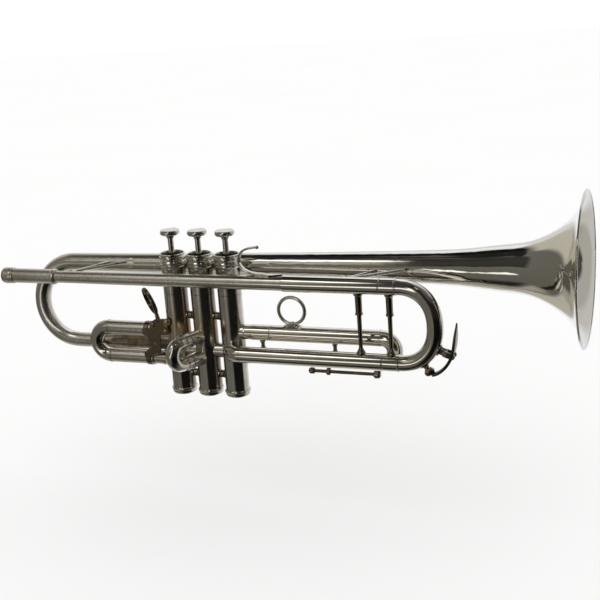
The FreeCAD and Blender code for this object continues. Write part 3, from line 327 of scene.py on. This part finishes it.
# azimuth is 0 towards the camera and grows to its right; both angles are in degrees
direction = sky.new("ShaderNodeTexCoord").outputs["Generated"]
x, y, z = sky.split(direction)
azimuth = sky.calc("ARCTAN2", x, sky.mul(y, -1.0))
azimuth = sky.calc("SUBTRACT", azimuth, math.atan2(BACK.x, -BACK.y))
azimuth = sky.mul(sky.calc("WRAP", azimuth, math.pi, -math.pi), DEGREES)
sine = sky.calc("MINIMUM", sky.calc("MAXIMUM", z, -1.0), 1.0)
elevation = sky.mul(sky.calc("ARCSINE", sine), DEGREES)


def drift(angle, noise, degrees):
    """Let the straight edges of the room wander a little."""
    return sky.add(angle, sky.mul(sky.calc("SUBTRACT", noise, 0.5), degrees))


bearing = drift(azimuth, sky.noise(direction, scale=2.2, detail=2.0), degrees=8.0)
height = drift(elevation, sky.noise(direction, scale=2.6, detail=2.0, seed=(4.0, 2.0, 1.0)),
               degrees=6.0)


def wall(level, warm=1.0):
    """Wall colour that shows in the plate at this sRGB level (0-255), slightly warm."""
    shown = srgb(level, level * (1 - 0.035 * warm), level * (1 - 0.13 * warm))
    return (*(seen / plate for seen, plate in zip(shown[:3], PLATE)), 1.0)


def add_panels(colour, panels):
    """Paint panels in turn; an elevation of -90 or 90 leaves that side open."""
    for level, left, right, bottom, top, soft_side, soft_end in panels:
        mask = sky.band(bearing, left, right, soft_side)
        if bottom > -90 and top < 90:
            mask = sky.mul(mask, sky.band(height, bottom, top, soft_end))
        elif bottom > -90:
            mask = sky.mul(mask, sky.step(height, bottom - soft_end, bottom + soft_end))
        elif top < 90:
            mask = sky.mul(mask, sky.step(height, top - soft_end, top + soft_end, 1.0, 0.0))
        opacity = 1.0
        colour = sky.mix(sky.mul(mask, opacity), colour, wall(level))
    return colour


def add_box(colour, across, upward, light):
    """Paint a patch; across and upward are band masks."""
    return sky.mix(sky.mul(across, upward), colour, light)


# Panels: level, azimuth from, to, elevation from, to, softness across, softness upward
LEFT_PANELS = (
    (74, -112, -12, 55, 90, 4, 4),
    (52, -72, -12, -90, -44, 6, 6),
    (140, -118, -86, -76, -44, 8, 6),
    # pale sweep behind the trumpet
    (172, -190, -124, -2, 48, 6, 6),
    (165, -190, -124, -90, -24, 6, 6),
    (150, -190, -124, -24, -2, 6, 3),
    (76, -147, -110, -20, -6, 5, 3),
)
# Right half: azimuth where the change starts, where it ends, level, warmth
RIGHT_STEPS = (
    (60, 68, 60, 1.0), (68, 76, 158, 0.6), (100, 114, 180, 0.4),
    (126, 142, 206, 0.1), (160, 172, 224, 0.1), (-162, -176, 224, 0.1),
)
DARK_PANELS = (  # dark room behind the camera
    (24, -14, 62, -90, 90, 5, 5),
    (66, 16, 54, 22, 50, 8, 7),
    (11, -26, 62, -52, -9, 5, 4),
    (28, -70, 62, -76, -52, 8, 5),
)
CEILING_EDGE = (
    (26, -168, -76, 56, 72, 5, 2.5),
    (11, -168, -138, 54, 72, 5, 3),
)
WINDOW_BAY = (  # grey panel and dark post, left of the camera
    (158, -64, -45, 20, 52, 3, 4),
    (60, -44, -33, 14, 52, 2.5, 4),
)

paint = sky.mix(sky.ramp(height, start=-60, end=60), wall(84), wall(96))
paint = add_panels(paint, LEFT_PANELS)
for start, end, level, warm in RIGHT_STEPS:
    paint = sky.mix(sky.step(bearing, start, end), paint, wall(level, warm))
paint = add_panels(paint, DARK_PANELS)
paint = add_box(paint, sky.step(sky.calc("ABSOLUTE", bearing), start=158, end=168),
                sky.band(height, low=6, high=34, soft=5), wall(200, warm=0.4))
# overhead and underfoot the right wall melts into the dark side, and the ground is even
paint = add_box(paint, sky.step(sky.calc("ABSOLUTE", height), start=28, end=50),
                sky.band(bearing, low=44, high=104, soft=24), wall(92))
paint = sky.mix(sky.step(height, start=-70, end=-77), paint, wall(82))
paint = add_panels(paint, CEILING_EDGE)
paint = sky.mix(sky.step(height, start=71, end=75), paint, wall(70))
paint = add_panels(paint, WINDOW_BAY)
paint = add_box(paint, sky.band(azimuth, low=-24, high=-6, soft=4),
                sky.band(elevation, low=12, high=46, soft=5),
                sky.mix(sky.ramp(azimuth, start=-24, end=-8), wall(118), wall(58)))

# bright strip: slants 0.80 degrees sideways per degree up, and is nearly upright above the bend
STRIP_FOOT, STRIP_BEND = -16.0, 15.0
slant = sky.mul(sky.calc("MINIMUM", sky.calc("MAXIMUM", elevation, STRIP_FOOT), STRIP_BEND),
                0.80)
upright = sky.mul(sky.calc("MAXIMUM", sky.calc("SUBTRACT", elevation, STRIP_BEND), 0.0), 0.05)
off_strip = sky.calc("SUBTRACT", azimuth, sky.add(sky.add(-36.0, slant), upright))
paint = add_box(paint, sky.band(off_strip, low=-4.2, high=4.2, soft=1.6),
                sky.band(elevation, low=-13, high=43, soft=3.5), (1.30, 1.28, 1.22, 1.0))
# soft boxes
paint = add_box(paint, sky.band(bearing, low=-64, high=-44, soft=3),
                sky.band(height, low=45, high=53, soft=2.0), (2.2, 2.16, 2.06, 1.0))
paint = add_box(paint, sky.band(bearing, low=8, high=20, soft=3),
                sky.band(height, low=53, high=61, soft=2.5), (1.1, 1.08, 1.02, 1.0))

# mirrors see the painted room, everything else plain white light
plain = sky.new("ShaderNodeBackground", {"Color": (1.0, 1.0, 1.0, 1.0), "Strength": 1.05})
mirrored = sky.new("ShaderNodeBackground", {"Color": paint, "Strength": 1.08})
glossy = sky.new("ShaderNodeLightPath").outputs["Is Glossy Ray"]
chooser = sky.new("ShaderNodeMixShader",
                  {0: glossy, 1: plain.outputs[0], 2: mirrored.outputs[0]})
sky.new("ShaderNodeOutputWorld", {"Surface": chooser.outputs[0]})

# ---------------------------------------------------------------------- floor
bpy.ops.mesh.primitive_plane_add(size=12.0, location=(0.25, 0.0, -0.190))
floor = bpy.context.object
floor.name = "studio_floor"
material, net, shader, position = new_material("pale_floor")
net.fill(shader, {
    "Base Color": net.mix(net.noise(position, scale=3.0),
                          (0.93, 0.93, 0.925, 1), (0.95, 0.95, 0.947, 1)),
    "Roughness": 0.9,
    "Specular IOR Level": 0.0})
floor.data.materials.append(material)
floor.visible_glossy = False

# ----------------------------------------------------------------------- flag
# Dark glowing card that only mirrors see: a painted dark reflection that keeps the window out
# of the upper bell throat
BELL_THROAT = Vector((0.398, 0.022, 0.015))
FLAG_DISTANCE = 0.22
FLAG_LEFT, FLAG_RIGHT, FLAG_HALF_HEIGHT = -0.072, 0.080, 0.10
FADE_START, FADE_END = -0.068, -0.022  # x from the flag's centre

facing = Vector((-0.364, -0.648, 0.669)).normalized()
across = Vector((1, 0, 0))
across = (across - facing * across.dot(facing)).normalized()
along = facing.cross(across)
centre = BELL_THROAT + facing * FLAG_DISTANCE
corners = [tuple(centre + across * side + along * end) for side, end in (
    (FLAG_LEFT, -FLAG_HALF_HEIGHT), (FLAG_RIGHT, -FLAG_HALF_HEIGHT),
    (FLAG_RIGHT, FLAG_HALF_HEIGHT), (FLAG_LEFT, FLAG_HALF_HEIGHT))]
mesh = bpy.data.meshes.new("studio_flag")
mesh.from_pydata(corners, [], [(0, 1, 2, 3)])
flag = bpy.data.objects.new("studio_flag", mesh)
scene.collection.objects.link(flag)

# see-through -X edge of the painted dark reflection, so that the window fades out instead of
# stopping dead
material, net, shader, position = new_material("flag_cloth", "ShaderNodeMixShader")
dark_reflection_glow = net.new("ShaderNodeEmission", {
    "Color": net.mix(net.noise(position, scale=14.0, detail=2.0), wall(30), wall(64))})
net.fill(shader, {
    0: net.step(net.split(position)[0], centre.x + FADE_START, centre.x + FADE_END),
    1: net.new("ShaderNodeBsdfTransparent").outputs[0],
    2: dark_reflection_glow.outputs[0]})
mesh.materials.append(material)
for ray in ("camera", "diffuse", "shadow", "transmission", "volume_scatter"):
    setattr(flag, f"visible_{ray}", False)

# --------------------------------------------------------------------- camera
CAMERA_PLACE = Vector((0.5844639, -0.8067097, 0.2349684))
lens = bpy.data.cameras.new("photo_camera")
camera = bpy.data.objects.new("photo_camera", lens)
scene.collection.objects.link(camera)
turn = Matrix((RIGHT, UP, BACK)).transposed()
camera.matrix_world = Matrix.Translation(CAMERA_PLACE) @ turn.to_4x4()
lens.sensor_width = 36.0
lens.lens = 68.5321
lens.shift_x = 0.05178
lens.shift_y = 0.00079
lens.clip_start = 0.05
lens.clip_end = 60.0
scene.camera = camera
